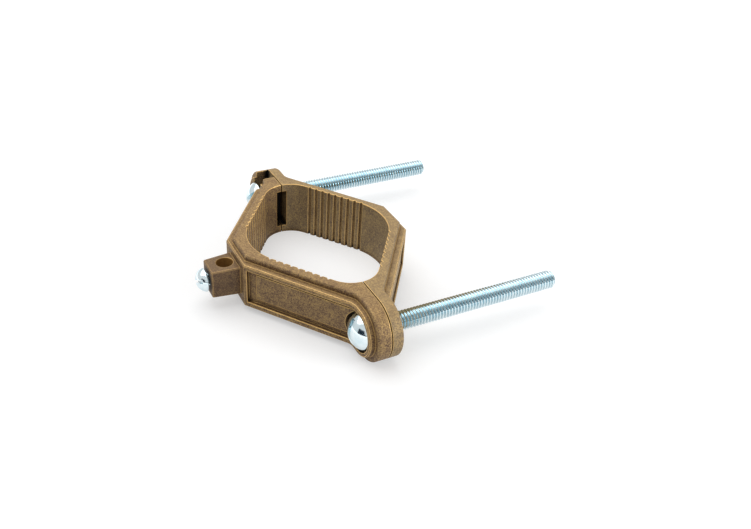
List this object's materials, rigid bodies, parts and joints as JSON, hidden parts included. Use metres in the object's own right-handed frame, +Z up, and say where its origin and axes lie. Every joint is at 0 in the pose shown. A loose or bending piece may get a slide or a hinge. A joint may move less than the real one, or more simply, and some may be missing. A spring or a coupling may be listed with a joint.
{
  "type": "earthing pipe clamp",
  "caption": "Swing-open earthing clamp: toothed V jaws drawn together on a pipe by long screws, with a bored lug and pinch screw for the earthing conductor.",
  "frame": {"origin": "on the axis of the pipe the clamp holds, in the plane of the lower rim of the jaws", "axes": "+Z up along the pipe's axis; +X along the parting plane from the slotted ears to the hinge ears; +Y square to the parting plane, the way the screw tips point"},
  "size_m": [0.1366, 0.1394, 0.0254],
  "materials": {
    "cast_bronze": "rough as-cast bronze, browned in the recesses",
    "zinc_steel": "bright zinc plating, slightly blue"
  },
  "bodies": {
    "front_jaw": {"front_jaw": "cast_bronze"},
    "back_jaw": {"back_jaw": "cast_bronze"},
    "hinge_screw": {"hinge_screw": "zinc_steel"},
    "slot_screw": {"slot_screw": "zinc_steel"},
    "lug_screw": {"lug_screw": "zinc_steel"}
  },
  "joints": [
    {"name": "swing", "type": "hinge", "parent": "front_jaw", "child": "hinge_screw", "pos_m": [0.0556, 0, 0.0127], "axis": [0, 1, 0], "range_deg": [0, 180]},
    {"name": "jaw_opening", "type": "slide", "parent": "hinge_screw", "child": "back_jaw", "axis": [0, 1, 0], "range_m": [0, 0.075]},
    {"name": "slot_screw_travel", "type": "slide", "parent": "back_jaw", "child": "slot_screw", "axis": [0, -1, 0], "range_m": [0, 0.075]},
    {"name": "lug_screw_travel", "type": "slide", "parent": "front_jaw", "child": "lug_screw", "axis": [0, 1, 0], "range_m": [-0.003, 0.0011]}
  ],
  "couplings": [
    {"joint": "slot_screw_travel", "follows": "jaw_opening", "ratio": 1}
  ]
}
